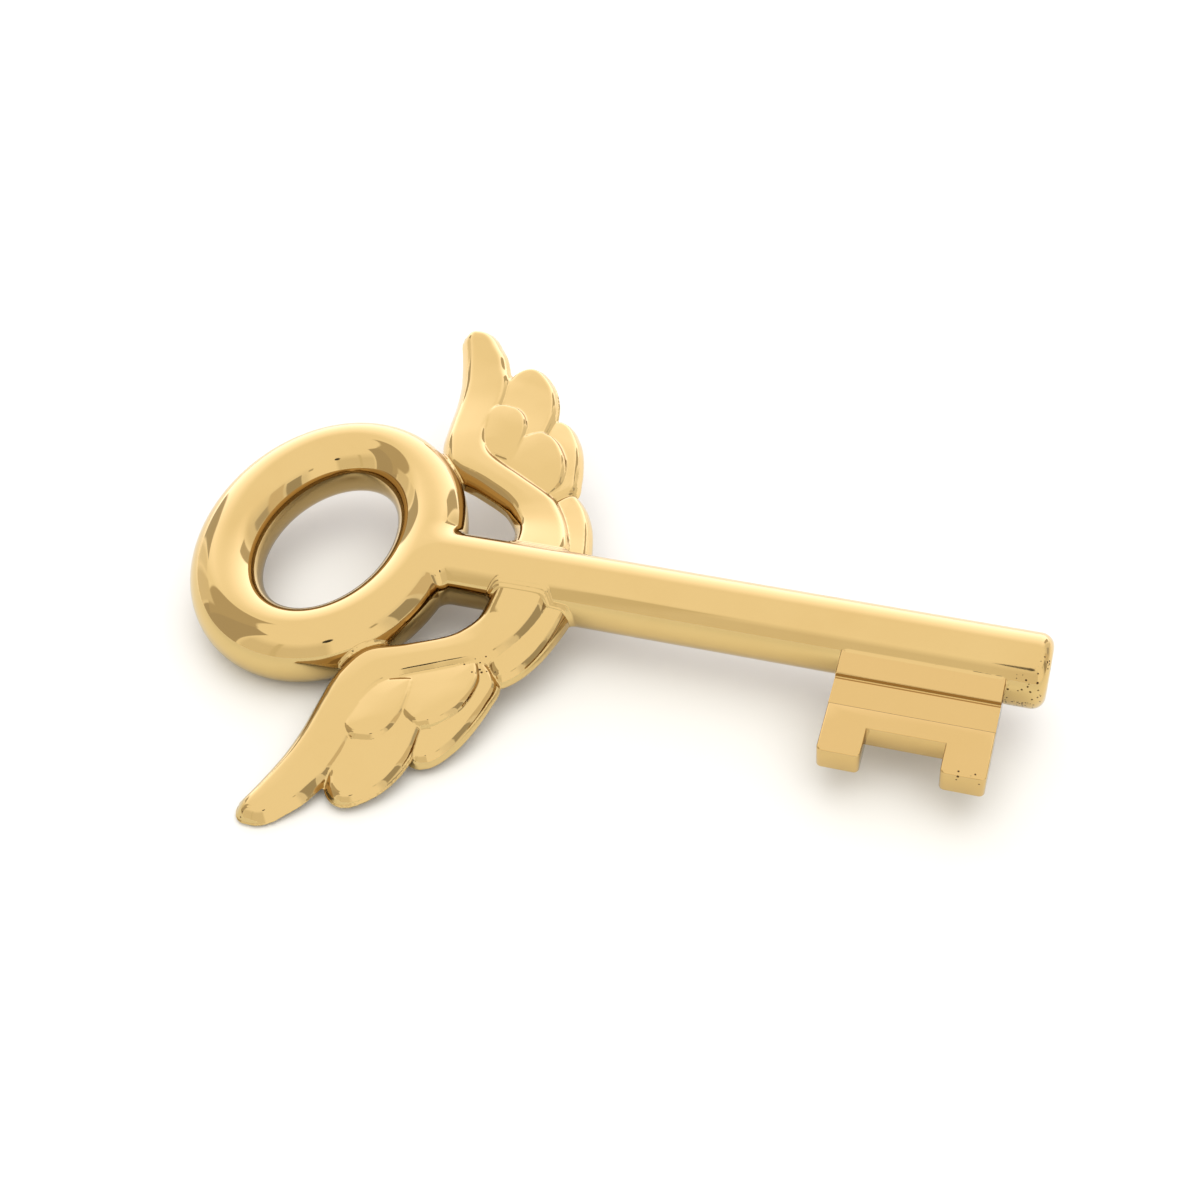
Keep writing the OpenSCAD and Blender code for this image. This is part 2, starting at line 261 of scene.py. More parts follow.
def pitGroup():
    s = pitSettings
    group, given, result = newGroup("castingPits", {
        "Vector": None, "Scale": s["scale"], "Mask": 0}, ["Pits"])
    nodes = group.nodes
    cells = newNode(nodes, "ShaderNodeTexVoronoi", {
        "Vector": given.outputs["Vector"], "Scale": given.outputs["Scale"]})
    chance = newNode(nodes, "ShaderNodeSeparateColor", {"Color": cells.outputs["Color"]})
    radius = maths(nodes, "MULTIPLY_ADD", chance.outputs["Red"], s["sizeSpread"], s["leastSize"])
    inside = maths(nodes, "LESS_THAN", cells.outputs["Distance"], radius)
    chosen = maths(nodes, "LESS_THAN", chance.outputs["Green"], given.outputs["Mask"])
    feed(result.inputs["Pits"], maths(nodes, "MULTIPLY", inside, chosen))
    return group


handPolish = polishGroup()
castingPits = pitGroup()

# polished gilt: waves are the scale and height of the casting's waviness, and pits are the
# pitted spots, each with its radius, and the share of cells with a pit in a spot's middle
goldSettings = {
    "colour": (0.86, 0.60, 0.25),
    "bitColour": (0.83, 0.555, 0.225),
    "smudgeColour": (0.80, 0.53, 0.20),
    "smudgeShare": 0.35,
    "pitColour": (0.12, 0.06, 0.02),
    "pitDepth": 0.15 * mm,
    "goldInGoldShade": (0.46, 0.32, 0.15),  # painted shade: gold seen in gold is darkened to brown
    "softColour": (0.82, 0.68, 0.48),  # gold as it lights the floor
    "roughness": (0.035, 0.10),  # clean and smudged
    "strokeShare": 0.25,
    "barWaves": (22, 0.03 * mm),
    "barPits": ([((shankEndX - 9 * mm, -13 * mm, axisZ - 7 * mm), 18 * mm),
                 ((shankEndX - 3 * mm, -7 * mm, axisZ + 11 * mm), 6 * mm)], 0.8),
    "wingWaves": (45, 0.12 * mm),
    "wingPits": ([((bowX + 16 * mm, -137 * mm, axisZ), 9 * mm),
                  ((bowX + 85 * mm, -50 * mm, axisZ), 10 * mm)], 0.25),
    "bitWaves": (30, 0.02 * mm),
    "bitPits": ([((plateHigh.x - 8 * mm, plateLow.y, axisZ + 5 * mm), 7 * mm)], 0.1),
    "brazeWaves": (160, 0.2 * mm),
}


def goldMaterial(name, waves, pits=None, colour="colour"):
    s = goldSettings
    material, nodes, shader = newMaterial(name, {"Metallic": 1})
    position = nodes.new("ShaderNodeTexCoord").outputs["Object"]
    polish = placed(nodes, handPolish, {"Vector": position})
    pitted = placed(nodes, castingPits, {"Vector": position})
    if pits:
        spots, density = pits
        mask = maths(nodes, "MULTIPLY", nearSpots(nodes, position, spots), density)
        feed(pitted.inputs["Mask"], mask)

    smudged = maths(nodes, "MULTIPLY", polish.outputs["Smudge"], s["smudgeShare"])
    tone = colourMix(nodes, smudged, s[colour], s["smudgeColour"])
    tone = colourMix(nodes, pitted.outputs["Pits"], tone, s["pitColour"])
    rays = nodes.new("ShaderNodeLightPath")
    mirrored = maths(nodes, "GREATER_THAN", rays.outputs["Glossy Depth"], 0.5)  # seen in a mirror
    # painted shade: gold that shows in a mirror of gold takes this darkened colour
    tone = colourMix(nodes, mirrored, tone, s["goldInGoldShade"])
    tone = colourMix(nodes, rays.outputs["Is Diffuse Ray"], tone, s["softColour"])
    feed(shader.inputs["Base Color"], tone)

    worn = maths(nodes, "MULTIPLY_ADD", polish.outputs["Stroke"], s["strokeShare"],
                 polish.outputs["Smudge"])
    feed(shader.inputs["Roughness"], mapped(nodes, worn, toRange=s["roughness"]))

    waveScale, waveHeight = waves
    wavy = newNode(nodes, "ShaderNodeTexNoise", {
        "Vector": position, "Scale": waveScale, "Detail": 1})
    relief = newNode(nodes, "ShaderNodeBump", {
        "Height": wavy.outputs["Fac"], "Distance": waveHeight, "Strength": 1})
    hollow = newNode(nodes, "ShaderNodeBump", {
        "Height": pitted.outputs["Pits"], "Distance": s["pitDepth"],
        "Normal": relief.outputs["Normal"]})
    hollow.invert = True
    feed(shader.inputs["Normal"], hollow.outputs["Normal"])
    return material


barGold = goldMaterial("polishedBarGold", goldSettings["barWaves"], goldSettings["barPits"])
wingGold = goldMaterial("castWingGold", goldSettings["wingWaves"], goldSettings["wingPits"])
bitGold = goldMaterial("filedBitGold", goldSettings["bitWaves"], goldSettings["bitPits"],
                       "bitColour")
brazeGold = goldMaterial("brazeGold", goldSettings["brazeWaves"])

steelSettings = {
    "colour": (0.58, 0.58, 0.57),
    "strokeScale": 900,
    "roughness": (0.24, 0.42),  # in the grain's hollows and on its ridges
    "grainDepth": 0.02 * mm,
}


def brushedSteel():
    s = steelSettings
    material, nodes, shader = newMaterial("brushedSteel", {
        "Metallic": 1, "Base Color": s["colour"]})
    position = nodes.new("ShaderNodeTexCoord").outputs["Object"]
    polish = placed(nodes, handPolish, {"Vector": position, "Stroke Scale": s["strokeScale"]})
    stroke = polish.outputs["Stroke"]
    feed(shader.inputs["Roughness"], mapped(nodes, stroke, toRange=s["roughness"]))
    grain = newNode(nodes, "ShaderNodeBump", {"Height": stroke, "Distance": s["grainDepth"]})
    feed(shader.inputs["Normal"], grain.outputs["Normal"])
    return material


steel = brushedSteel()
print("materials ready")

# bow, neck and shank: one polished surface
bodySettings = {
    "around": 48,  # faces round half the bar
    "along": 300,  # faces along the bow
    "filletSteps": 10,
    "shankSteps": 90,
    "edgeSteps": 8,
    "endSteps": 3,  # rings on the shank's flat end
    "endEdge": 5.5 * mm,
    "filletAtSide": 3.6 * mm,
    "filletAtCrown": 12 * mm,
    "mergeWithin": 2 * tiny,
}


def bowNormal(t):  # outwards in the level plane, at the angle t round the oval
    x, y = bowHalfY * cos(t), bowHalfX * sin(t)
    length = hypot(x, y)
    return x / length, y / length


def bowPoint(t, turn):  # turn is 0 on the outside of the ring and pi / 2 on its crown
    normalX, normalY = bowNormal(t)
    out = barRadius * cos(turn)
    return Vector((bowX + bowHalfX * cos(t) + out * normalX,
                   bowHalfY * sin(t) + out * normalY, axisZ + barRadius * sin(turn)))


def filletRadius(halfWidth):  # the bar's half width is 0 at the crown and barRadius at mid height
    atSide, atCrown = bodySettings["filletAtSide"], bodySettings["filletAtCrown"]
    return atSide + (atCrown - atSide) * (1 - halfWidth / barRadius)


def neckSeam(halfWidth):  # where the fillet leaves the bow in a level slice, and its centre
    reach = halfWidth + filletRadius(halfWidth)
    low, high = 0.0, pi / 3
    for _ in range(50):  # halves the range that holds the fillet's centre
        t = (low + high) / 2
        if bowHalfY * sin(t) + reach * bowNormal(t)[1] < reach:
            low = t
        else:
            high = t
    return t, (bowHalfX * cos(t) + reach * bowNormal(t)[0], reach)


def keyBody():
    s = bodySettings
    around, along, filletSteps, edge = s["around"], s["along"], s["filletSteps"], s["endEdge"]
    edgeStart = s["shankSteps"]
    edgeEnd = edgeStart + s["edgeSteps"]
    last = edgeEnd + s["endSteps"]
    turns = [-pi / 2 + pi * i / around for i in range(around + 1)]
    halfWidths = [0.0, *(barRadius * abs(cos(turn)) for turn in turns[1:-1]), 0.0]
    seams = [neckSeam(halfWidth) for halfWidth in halfWidths]
    crownT = seams[0][0]

    def outerRing(i, j):
        t = seams[i][0]
        return bowPoint(t + (2 * pi - 2 * t) * j / along, turns[i])

    def innerRing(i, j):
        return bowPoint(crownT + (2 * pi - 2 * crownT) * j / along, pi / 2 + pi * i / around)

    def innerNeck(i, j):
        return bowPoint(crownT * (j / filletSteps - 1), pi / 2 + pi * i / around)

    def fillet(side, i, j):
        t, (centreX, centreY) = seams[i]
        normalX, normalY = bowNormal(t)
        start = atan2(-normalY, -normalX)
        angle = start + (-pi / 2 - start) * j / filletSteps
        radius = centreY - halfWidths[i]
        return Vector((bowX + centreX + radius * cos(angle),
                       side * (centreY + radius * sin(angle)), axisZ + barRadius * sin(turns[i])))

    def shank(side, i, j):
        x0, x1 = bowX + seams[i][1][0], shankEndX - edge
        if j <= edgeStart:
            x, radius = x0 + (x1 - x0) * j / edgeStart, barRadius
        elif j <= edgeEnd:
            a = pi / 2 * (j - edgeStart) / (edgeEnd - edgeStart)
            x, radius = x1 + edge * sin(a), barRadius - edge + edge * cos(a)
        else:
            x, radius = shankEndX, (barRadius - edge) * (last - j) / (last - edgeEnd)
        return Vector((x, side * radius * (halfWidths[i] / barRadius),
                       axisZ + radius * sin(turns[i])))

    parts = [shapedGrid("outerRing", around, along, outerRing),
             shapedGrid("innerRing", around, along, innerRing),
             shapedGrid("innerNeck", around, 2 * filletSteps, innerNeck)]
    for side in (1, -1):
        parts.append(shapedGrid("fillet", around, filletSteps, lambda i, j: fillet(side, i, j)))
        parts.append(shapedGrid("shankSide", around, last, lambda i, j: shank(side, i, j)))
    return smoothShaded(closedUp(joined("bowAndShank", parts), s["mergeWithin"]))


finished(keyBody(), "gilt_brass", barGold,
         "bow_front_half", "bow_back_half", "neck_fillet", "shank_tube", "shank_end_plug")
print("bow and shank modelled")

# wings: cast relief, the left one modelled and the right one mirrored
# a form's stations run along it, each with inner x and y, outer x and y, the height of its
# top and the height of its back, in mm from the middle of the bow
wingSettings = {
    "leading": [
        (76.4, 5, 101.6, 5, 11.4, -5.5), (76, 16.4, 101.3, 17, 8.8, -5.5),
        (73.8, 25.6, 97.4, 29.5, 6.6, -5.5), (69.2, 32.6, 91.4, 40, 5.9, -5.5),
        (63.4, 37.8, 84.7, 47.2, 5.9, -5.5), (49.8, 44.8, 68.5, 56.3, 6.2, -5.5),
        (34.6, 51.6, 52, 66, 6.3, -5.3), (27.8, 65.6, 47, 77, 6, -4.8),
        (25.6, 80, 47.5, 87.4, 5.2, -4), (24.4, 93, 47.8, 99, 4.5, -3.4),
        (22.6, 105, 45.6, 111.5, 4.3, -3), (20, 115, 42.2, 119, 4.2, -2.8),
        (17, 124.5, 38.4, 127, 4.2, -2.6), (14.7, 131, 33.8, 133, 4.2, -2.5),
        (14.4, 134.4, 31.4, 136, 4.2, -2.4), (15, 137.2, 28.8, 138.4, 4.2, -2.4),
        (16.6, 139.4, 26, 140, 4.2, -2.3), (19, 140.6, 23.2, 140.7, 4.2, -2.2)],
    "rootFeather": [
        (80, 5, 111, 5, 6, -6.5), (82, 17, 110, 15, 4.6, -6.5),
        (82, 27, 107.6, 26, 3, -6.5), (80, 36, 104.6, 36, 2, -6.5),
        (82.4, 44, 100.8, 44, 1.4, -6.5), (85, 48.4, 98.2, 48, 1.2, -6.5),
        (88, 51.6, 95.6, 51, 1.2, -6.5), (91, 53.2, 93.4, 53, 1.2, -6.5)],
    "feathers": [
        [(30, 66, 64, 57, 3.6, -2.8), (32, 84, 70.6, 74, 3.2, -2.8),
         (34, 101, 71.8, 90.5, 2.5, -3), (38.5, 110, 70.8, 100, 2.2, -3.2),
         (41.6, 114.5, 68.6, 107.4, 2, -3.3), (43.6, 118.8, 65.6, 113.4, 2, -3.4),
         (46.4, 122, 62, 118, 2, -3.4), (49.4, 123.6, 58.4, 121.4, 2, -3.4),
         (52.2, 124.2, 55.4, 123.4, 2, -3.4)],
        [(50, 60, 84, 43, 2.2, -6.4), (54, 70, 92.6, 53, 1, -6.4),
         (56, 79, 91.8, 64, 0.6, -6.8), (60, 87.6, 89.2, 75, 0.2, -7.4),
         (64, 93, 86.4, 83, -0.4, -7.8), (67.6, 96, 83.6, 88.4, -0.8, -8),
         (71.2, 97.4, 80.6, 93, -1, -8.1), (74, 97.6, 77.6, 96, -1, -8.1)]],
    "coverts": [
        [(37, 66, 61, 60, 4.1, 0), (37.8, 74, 62.4, 68, 4.5, 0),
         (38.8, 81.6, 62.8, 76.6, 4.9, 0), (39.4, 88, 62, 83.4, 5.2, 0),
         (41, 92.4, 60.2, 88.8, 5.3, 0), (43.8, 95.2, 57.2, 93, 5.3, 0),
         (47.2, 96.4, 53.6, 95.5, 5.3, 0)],
        [(50, 56, 82, 45, 3, -3), (50, 66, 85.8, 54, 3.3, -3),
         (55, 74.4, 85.6, 62, 3.7, -3), (60, 79.6, 83.6, 69.6, 4, -3),
         (63.2, 82, 80.6, 75, 4.2, -3), (66, 83.6, 77.4, 79.2, 4.3, -3),
         (69, 84.4, 74, 82.2, 4.3, -3)]],
    "leadingRim": (5.4, 5.2),  # how far in and how deep the top rolls down to the outline
    "rim": (3.9, 4.5),
    "covertRim": (2.9, 3.4),
    "backRim": (1.6, 1.6),
    "dome": (12, 0.6),
    "steps": 8,  # rows from one station to the next
    "across": 28,  # faces from one edge to the other
    "voxel": 0.45 * mm,
    "smoothing": 4,
    "leftTurn": (0.2, 0.6),  # degrees towards the bow and up
    "leftTurnX": 95 * mm,  # the middle of that turn, on the shank's axis
    "leftCurl": (85 * mm, 1.1),  # where its end starts to rise, and how much per square metre
}


def onCurve(p, q, r, w, t):  # between q and r, on a smooth curve through the four values
    return 0.5 * (2 * q + (r - p) * t + (2 * p - 5 * q + 4 * r - w) * t * t
                  + (3 * q - p - 3 * r + w) * t ** 3)


def smoothRows(rows, steps):
    out = []
    for i in range(len(rows) - 1):
        four = rows[max(i - 1, 0)], rows[i], rows[i + 1], rows[min(i + 2, len(rows) - 1)]
        out += [[onCurve(*values, k / steps) for values in zip(*four)] for k in range(steps)]
    return out + [rows[-1]]


def outlineDistance(points, outline):  # from each point to the nearest side of the outline
    point, start = np.array(points)[:, None], np.array(outline)[None]
    side = np.roll(start, -1, axis=1) - start
    squared = np.maximum((side ** 2).sum(-1), 1e-9)  # a side may have no length
    along = np.clip(((point - start) * side).sum(-1) / squared, 0, 1)
    return np.sqrt(((start + along[..., None] * side - point) ** 2).sum(-1)).min(1)


def rolled(distance, reach, depth):
    return depth * (1 - min(distance / reach, 1)) ** 2


def pillow(name, stations, rim, grow=0):  # a form whose top is domed and rolled down all round
    s = wingSettings
    last = s["across"]
    rows = smoothRows(stations, s["steps"])
    shares = [0.5 * cos(pi * k / last) for k in range(last + 1)]
    points = []
    for x0, y0, x1, y1, _, _ in rows:
        stretch = 1 + 2 * grow / hypot(x1 - x0, y1 - y0)
        points.append([((x0 + x1) / 2 + share * stretch * (x1 - x0),
                        (y0 + y1) / 2 + share * stretch * (y1 - y0)) for share in shares])
    outline = [row[0] for row in points] + [row[-1] for row in reversed(points)]
    distances = outlineDistance([point for row in points for point in row], outline)
    distances = distances.reshape(len(rows), -1)

    def place(i, j):  # j runs over the top and back under it
        j %= 2 * last + 2
        k = min(j, 2 * last + 1 - j)
        (x, y), distance = points[i][k], distances[i][k]
        top, back = rows[i][4:]
        if j <= last:
            z = top + grow - rolled(distance, *rim) - rolled(distance, *s["dome"])
        else:
            z = back - grow + rolled(distance, *s["backRim"])
        return Vector((bowX + x * mm, y * mm, axisZ + z * mm))

    return closedUp(shapedGrid(name, len(rows) - 1, 2 * last + 2, place))


def remeshed(piece, voxel, smoothing):
    pick(piece)
    piece.data.remesh_voxel_size = voxel
    bpy.ops.object.voxel_remesh()
    applied(piece, "SMOOTH", factor=0.5, iterations=smoothing)
    return smoothShaded(piece)


def castWing():
    s = wingSettings
    forms = [pillow("leading", s["leading"], s["leadingRim"]),
             pillow("rootFeather", s["rootFeather"], s["rim"])]
    forms += [pillow("feather", stations, s["rim"]) for stations in s["feathers"]]
    forms += [pillow("covert", stations, s["covertRim"]) for stations in s["coverts"]]
    return remeshed(joined("wingLeft", forms), s["voxel"], s["smoothing"])


def mirroredCopy(piece, name):
    pick(piece)
    bpy.ops.object.duplicate(linked=False)
    copy = bpy.context.object
    copy.name = copy.data.name = name
    for vertex in copy.data.vertices:
        vertex.co.y *= -1
    bpy.ops.object.mode_set(mode="EDIT")
    bpy.ops.mesh.select_all(action="SELECT")
    bpy.ops.mesh.flip_normals()
    bpy.ops.object.mode_set(mode="OBJECT")
    return copy


wingLeft = castWing()
wingRight = mirroredCopy(wingLeft, "wingRight")
finished(wingLeft, "gilt_brass", wingGold, "wing_left")
finished(wingRight, "gilt_brass", wingGold, "wing_right")
print("wings cast", len(wingLeft.data.polygons))

# braze between a wing and the bar that it meets: the wing's forms are grown in steps and
# kept close to the bar
beadSettings = {
    "layers": [(1.7, 0.3), (1, 0.7), (0.4, 1.4)],  # mm out from the wing and up from the bar
    "layerVoxel": 0.42 * mm,
    "layerSmoothing": 2,
    "voxel": 0.3 * mm,
    "smoothing": 16,
    "barFaces": 48,
    "bowSteps": 160,
    "shankStretch": (68, 80, 100, 120),  # mm from the middle of the bow
}


def barTube(name, centreLine, radius):  # a closed round tube on a line of points
    closed = (centreLine[0] - centreLine[-1]).length < tiny
    last, faces = len(centreLine) - 1, beadSettings["barFaces"]

    def place(i, j):
        ahead = centreLine[1 if closed and i == last else min(i + 1, last)]
        behind = centreLine[-2 if closed and i == 0 else max(i - 1, 0)]
        out = (ahead - behind).cross(Vector((0, 0, 1))).normalized()
        a = 2 * pi * j / faces
        return centreLine[i] + radius * (cos(a) * out + Vector((0, 0, sin(a))))

    return closedUp(shapedGrid(name, last, faces, place))


def wingBead(name, forms, line):
    s = beadSettings
    layers = []
    for out, up in s["layers"]:
        grown = [pillow("grown", stations, wingSettings["rim"], out) for stations in forms]
        layer = remeshed(joined(name, grown), s["layerVoxel"], s["layerSmoothing"])
        bar = barTube("bar", line, barRadius + up * mm)
        applied(layer, "BOOLEAN", operation="INTERSECT", object=bar, solver="EXACT")
        bpy.data.objects.remove(bar)
        layers.append(layer)
    return remeshed(joined(name, layers), s["voxel"], s["smoothing"])


def bowLine():
    steps = beadSettings["bowSteps"]
    turns = [2 * pi * k / steps for k in range(steps + 1)]
    return [Vector((bowX + bowHalfX * cos(t), bowHalfY * sin(t), axisZ)) for t in turns]


shankLine = [Vector((bowX + x * mm, 0, axisZ)) for x in beadSettings["shankStretch"]]
arm, rootFeather = wingSettings["leading"], wingSettings["rootFeather"]
rootBead = wingBead("wingRootBeadLeft", [arm[:4], rootFeather[:4]], shankLine)
bowBead = wingBead("wingBowBeadLeft", [arm[5:9]], bowLine())
for bead, barName in ((rootBead, "shank"), (bowBead, "bow")):
    other = mirroredCopy(bead, bead.name.replace("Left", "Right"))
    finished(bead, "braze", brazeGold, "wing_left_" + barName + "_braze")
    finished(other, "braze", brazeGold, "wing_right_" + barName + "_braze")
print("wing beads made", len(rootBead.data.polygons), len(bowBead.data.polygons))


def raiseLeft(piece):  # in the photo the left wing lies a little higher than the right one
    inward, lift = (radians(angle) for angle in wingSettings["leftTurn"])
    middle = Matrix.Translation((bowX + wingSettings["leftTurnX"], 0, axisZ))
    turn = middle @ Matrix.Rotation(inward, 4, "Z") @ Matrix.Rotation(lift, 4, "X")
    piece.data.transform(turn @ middle.inverted())
    start, rise = wingSettings["leftCurl"]
    for vertex in piece.data.vertices:
        vertex.co.z += rise * max(0, vertex.co.y - start) ** 2


for piece in (wingLeft, rootBead, bowBead):
    raiseLeft(piece)
print("left wing raised")

# bit: its step and thicknesses are the photo's, a little inside the solids'
bitSettings = {
    "blockHalf": (blockHigh.z - blockLow.z) / 2 - 0.8 * mm,
    "plateHalf": (plateHigh.z - plateLow.z) / 2 - 0.2 * mm,
    "longer": 1.8 * mm,  # towards the bow
    "rootY": -10 * mm,  # inside the shank
    "stepY": -24.8 * mm,
    "leftTooth": 16.6 * mm,
    "rightTooth": 17.2 * mm,
    "slotDepth": 14 * mm,
    "blockEdge": (0.45 * mm, 4),  # width and faces of each bevel
    "stepFillet": (0.4 * mm, 4),
    "seamEdge": (0.22 * mm, 2),
    "plateEdge": (0.6 * mm, 3),
    "frontEdge": (2.2 * mm, 6),
    "smoothBelow": 40,  # degrees
    "bead": 1.1 * mm,
    "beadSteps": 8,
    "beadCorner": 2 * mm,
    "beadCornerSteps": 6,
    "beadTuck": (0.4 * mm, 0.5 * mm),  # its hidden back, into the block and into the shank
}


def extrudedOutline(name, outline, move):  # a circle shaped to the outline and drawn out
    deselectAll()
    bpy.ops.mesh.primitive_circle_add(vertices=len(outline), radius=1, fill_type="NGON")
    piece = bpy.context.object
    piece.name = name
    for vertex, point in zip(piece.data.vertices, outline):
        vertex.co = point
    bpy.ops.object.mode_set(mode="EDIT")
    bpy.ops.mesh.select_all(action="SELECT")
    bpy.ops.mesh.extrude_region_move(TRANSFORM_OT_translate={"value": move})
    bpy.ops.mesh.select_all(action="SELECT")
    bpy.ops.mesh.normals_make_consistent(inside=False)
    bpy.ops.object.mode_set(mode="OBJECT")
    return piece


def bevelEdges(piece, bevel, wanted):  # wanted(a, b) says whether the edge from a to b is one
    width, segments = bevel
    pick(piece)
    bpy.ops.object.mode_set(mode="EDIT")
    bpy.ops.mesh.select_mode(type="EDGE")
    bpy.ops.mesh.select_all(action="DESELECT")
    bpy.ops.object.mode_set(mode="OBJECT")
    points = piece.data.vertices
    for edge in piece.data.edges:
        edge.select = wanted(points[edge.vertices[0]].co, points[edge.vertices[1]].co)
    bpy.ops.object.mode_set(mode="EDIT")
    bpy.ops.mesh.bevel(offset=width, segments=segments, profile=0.5, affect="EDGES")
    bpy.ops.object.mode_set(mode="OBJECT")


def near(first, second):
    return abs(first - second) < tiny


def atY(y, a, b):
    return near(a.y, y) and near(b.y, y)


def onFaces(half, a, b):  # on the top or the back of a plate of this half thickness
    return near(abs(a.z - axisZ), half) and near(abs(b.z - axisZ), half)


def bitBlock():  # saddled on the shank, with a thinner tongue past its step
    s = bitSettings
    x0, x1 = blockLow.x - s["longer"], blockHigh.x
    root, step, seam = s["rootY"], s["stepY"], blockLow.y
    thick, thin = s["blockHalf"], s["plateHalf"]
    profile = [(root, thick), (step, thick), (step, thin), (seam, thin),
               (seam, -thin), (step, -thin), (step, -thick), (root, -thick)]
    outline = [(x0, y, axisZ + z) for y, z in profile]
    piece = extrudedOutline("bitBlock", outline, (x1 - x0, 0, 0))
    bevelEdges(piece, s["blockEdge"],
               lambda a, b: onFaces(thick, a, b) and near(min(a.y, b.y), step))
    bevelEdges(piece, s["stepFillet"], lambda a, b: onFaces(thin, a, b) and atY(step, a, b))
    bevelEdges(piece, s["seamEdge"], lambda a, b: atY(seam, a, b) and near(a.z, b.z))
    return smoothShaded(piece, s["smoothBelow"])


def bitPlate():
    s = bitSettings
    x0, x1, front, seam = plateLow.x - s["longer"], plateHigh.x, plateLow.y, plateHigh.y
    slotX0, slotX1, slotY = x0 + s["leftTooth"], x1 - s["rightTooth"], front + s["slotDepth"]
    half = s["plateHalf"]
    profile = [(x0, seam), (x1, seam), (x1, front), (slotX1, front),
               (slotX1, slotY), (slotX0, slotY), (slotX0, front), (x0, front)]
    outline = [(x, y, axisZ - half) for x, y in profile]
    piece = extrudedOutline("bitToothPlate", outline, (0, 0, 2 * half))
    bevelEdges(piece, s["frontEdge"], lambda a, b: atY(front, a, b) and not near(a.z, b.z))
    bevelEdges(piece, s["plateEdge"],
               lambda a, b: onFaces(half, a, b) and near(a.z, b.z) and not atY(seam, a, b))
    bevelEdges(piece, s["seamEdge"], lambda a, b: atY(seam, a, b) and near(a.z, b.z))
    return smoothShaded(piece, s["smoothBelow"])


def bitBead():  # braze: a hollow fillet all round the block where it meets the shank
    s = bitSettings
    size, steps, corner = s["bead"], s["beadSteps"], s["beadCorner"]
    cornerSteps, (tuckIn, tuckUp) = s["beadCornerSteps"], s["beadTuck"]
    x0, x1 = blockLow.x - s["longer"] + corner, blockHigh.x - corner
    half = s["blockHalf"] - corner
    path = [(*centre, pi / 2 * (quarter + k / cornerSteps))
            for quarter, centre in enumerate([(x1, half), (x0, half), (x0, -half), (x1, -half)])
            for k in range(cornerSteps + 1)]
    path.append(path[0])

    def onShank(z):
        return -sqrt(barRadius ** 2 - z ** 2)

    def place(i, j):  # over the hollow face, then back along the hidden side
        centreX, centreZ, a = path[i]
        x, z = centreX + corner * cos(a), centreZ + corner * sin(a)
        outX, outZ = x + size * cos(a), z + size * sin(a)
        foot, bend = Vector((outX, onShank(outZ), outZ)), Vector((x, onShank(z), z))
        top = bend - Vector((0, size, 0))
        if j <= steps:
            t = j / steps
            point = foot * (1 - t) ** 2 + bend * 2 * t * (1 - t) + top * t * t
        elif j == steps + 1:
            point = Vector((x - tuckIn * cos(a), onShank(z) + tuckUp, z - tuckIn * sin(a)))
        else:
            point = foot
        return point + Vector((0, 0, axisZ))

    grid = shapedGrid("bitFillet", len(path) - 1, steps + 2, place)
    return smoothShaded(closedUp(grid), s["smoothBelow"])


finished(bitBead(), "braze", brazeGold, "bit_braze")
finished(bitBlock(), "gilt_brass", bitGold, "bit_root_block")
finished(bitPlate(), "gilt_brass", bitGold, "bit_tooth_plate")
print("bit modelled")

# the pieces inside the joints stay as the CAD has them
for nodeName in ("neck_stud", "bit_pins", "wing_shank_dowels", "wing_bow_dowels"):
    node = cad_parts[nodeName]
    node.data.materials.clear()
    node.data.materials.append(steel)

cameraSettings = {
    "place": (0.3058, -0.5054, 0.5975),  # from the middle of the bow
    "elevation": 48.12,
    "azimuth": -20.36,
    "roll": -5.45,
    "focal": 1972,  # in pixels of the photo
    "photoWidth": 1200,
    "sensor": 36,
    "frontRadius": 54 * mm,
    "frontBehind": 10 * mm,
    "frontColour": (0.01, 0.01, 0.01),
}


def photoCamera():
    s = cameraSettings
    elevation, azimuth, roll = (radians(s[key]) for key in ("elevation", "azimuth", "roll"))
    forward = Vector((sin(azimuth) * cos(elevation), cos(azimuth) * cos(elevation),
                      -sin(elevation)))
    right = Vector((cos(azimuth), -sin(azimuth), 0))
    down = forward.cross(right)
    rolledRight = cos(roll) * right - sin(roll) * down
    rolledDown = sin(roll) * right + cos(roll) * down
    data = bpy.data.cameras.new("photoCamera")
    data.sensor_width = s["sensor"]
    data.lens = s["sensor"] * s["focal"] / s["photoWidth"]
    camera = bpy.data.objects.new("photoCamera", data)
    bpy.context.scene.collection.objects.link(camera)
    place = Matrix.Translation(Vector(s["place"]) + Vector((bowX, 0, axisZ)))
    turn = Matrix((rolledRight, -rolledDown, -forward)).transposed()
    camera.matrix_world = place @ turn.to_4x4()
    bpy.context.scene.camera = camera
    return camera


camera = photoCamera()

